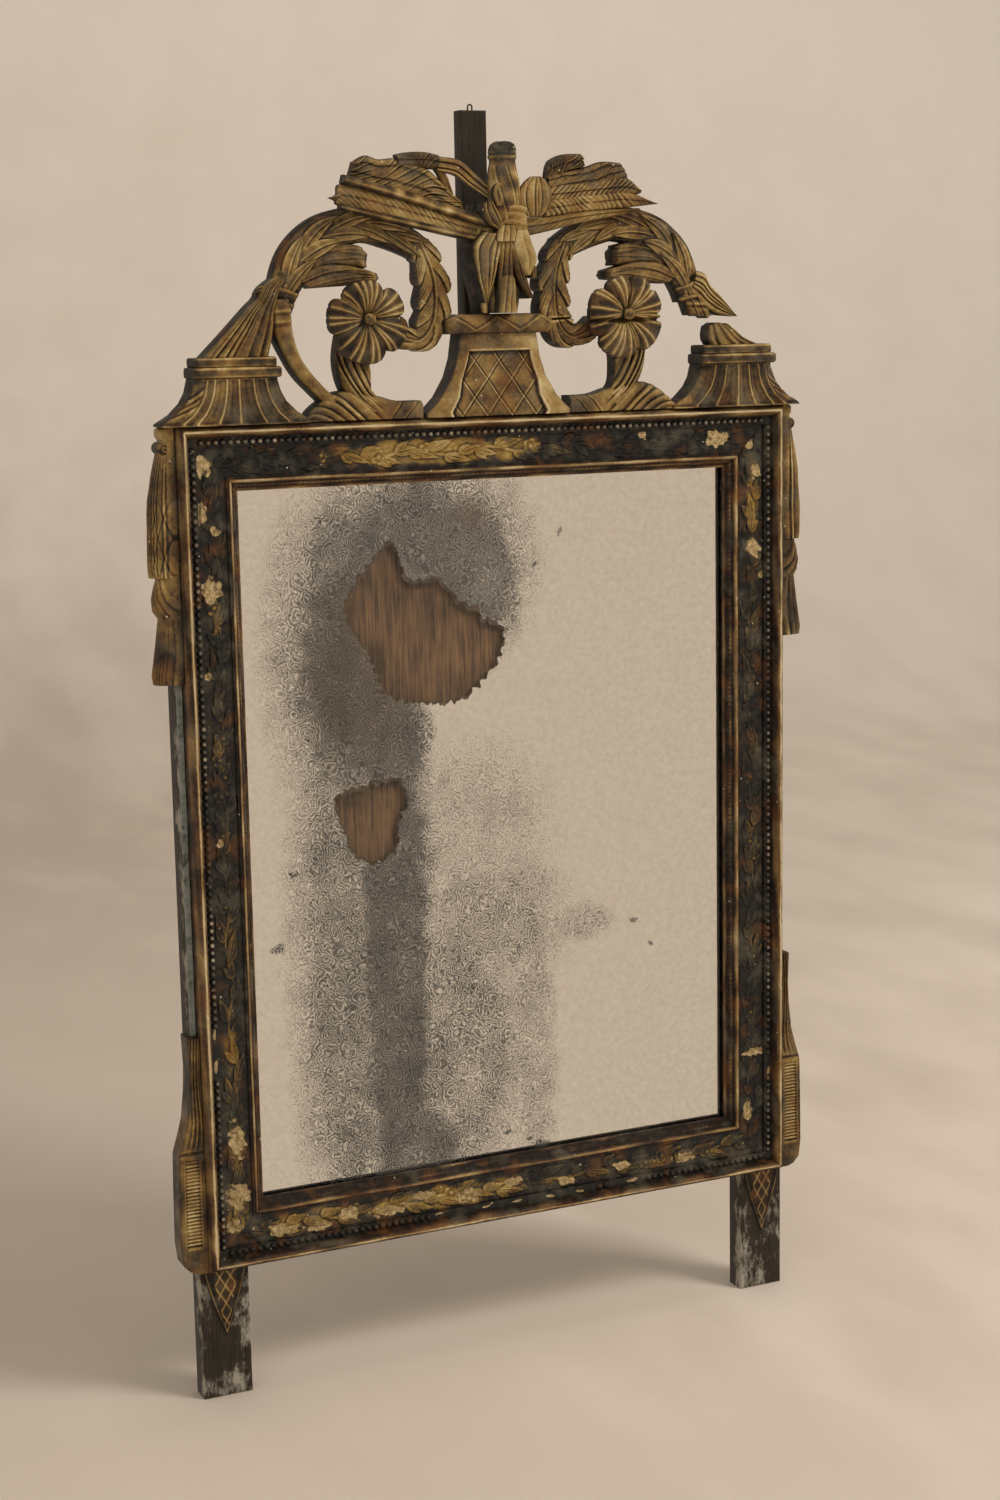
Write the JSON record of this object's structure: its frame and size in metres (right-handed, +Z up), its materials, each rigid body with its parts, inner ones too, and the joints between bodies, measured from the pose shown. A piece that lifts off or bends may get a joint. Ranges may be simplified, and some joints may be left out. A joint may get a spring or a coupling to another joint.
{
  "type": "wall mirror",
  "caption": "Carved and gilded wall mirror with a pierced scroll crest, beaded border, side carvings, an old silvered plate and legs below the frame.",
  "frame": {"origin": "middle of the part's depth and width, at the level of the two feet", "axes": "+Z up, +X to the right seen from the front, the glass faces -Y"},
  "size_m": [0.652, 0.087, 1.1435],
  "materials": {
    "old_softwood": "worn grey softwood with traces of paint",
    "sight_gilding": "aged gilding over gesso",
    "frieze_gilding": "darkened gilding, flaked to gesso",
    "bead_gilding": "darkened gilding",
    "rim_gilding": "rubbed gilding over red bole",
    "mirror_glass": "old polished plate",
    "tin_silvering": "tin amalgam, decayed in places",
    "backboard_pine": "bare planed pine",
    "wrought_iron": "rusted wrought iron",
    "post_wood": "dark stained softwood",
    "carved_gilding": "carved, gilded and darkened with age"
  },
  "bodies": {
    "root": {"left_stile": "old_softwood", "right_stile": "old_softwood", "top_rail": "old_softwood", "bottom_rail": "old_softwood", "tenon_pegs": "old_softwood", "left_sight_moulding": "sight_gilding", "right_sight_moulding": "sight_gilding", "top_sight_moulding": "sight_gilding", "bottom_sight_moulding": "sight_gilding", "left_frieze": "frieze_gilding", "right_frieze": "frieze_gilding", "top_frieze": "frieze_gilding", "bottom_frieze": "frieze_gilding", "left_bead_strip": "bead_gilding", "right_bead_strip": "bead_gilding", "top_bead_strip": "bead_gilding", "bottom_bead_strip": "bead_gilding", "left_rim": "rim_gilding", "right_rim": "rim_gilding", "top_rim": "rim_gilding", "bottom_rim": "rim_gilding", "mirror_glass": "mirror_glass", "tin_silvering": "tin_silvering", "left_backboard": "backboard_pine", "middle_backboard": "backboard_pine", "right_backboard": "backboard_pine", "glazing_blocks": "backboard_pine", "backboard_nails": "wrought_iron", "hanging_staple": "wrought_iron", "post_nails": "wrought_iron", "crest_post": "post_wood", "trophy_spacer": "post_wood", "left_corner_pedestal": "carved_gilding", "right_corner_pedestal": "carved_gilding", "left_finial_leaf": "carved_gilding", "right_finial_stub": "carved_gilding", "left_scroll": "carved_gilding", "right_scroll": "carved_gilding", "left_branch": "carved_gilding", "left_acanthus_leaf": "carved_gilding", "right_acanthus_leaf": "carved_gilding", "left_husk": "carved_gilding", "right_husk": "carved_gilding", "left_rosette_stem": "carved_gilding", "right_rosette_stem": "carved_gilding", "left_rosette": "carved_gilding", "right_rosette": "carved_gilding", "centre_pedestal": "carved_gilding", "pedestal_cap": "carved_gilding", "trophy_drapery": "carved_gilding", "quiver": "carved_gilding", "left_feather": "carved_gilding", "right_feather": "carved_gilding", "left_ribbon": "carved_gilding", "right_ribbon": "carved_gilding", "left_side_drop": "carved_gilding", "right_side_drop": "carved_gilding", "left_side_console": "carved_gilding", "right_side_console": "carved_gilding"}
  },
  "joints": []
}
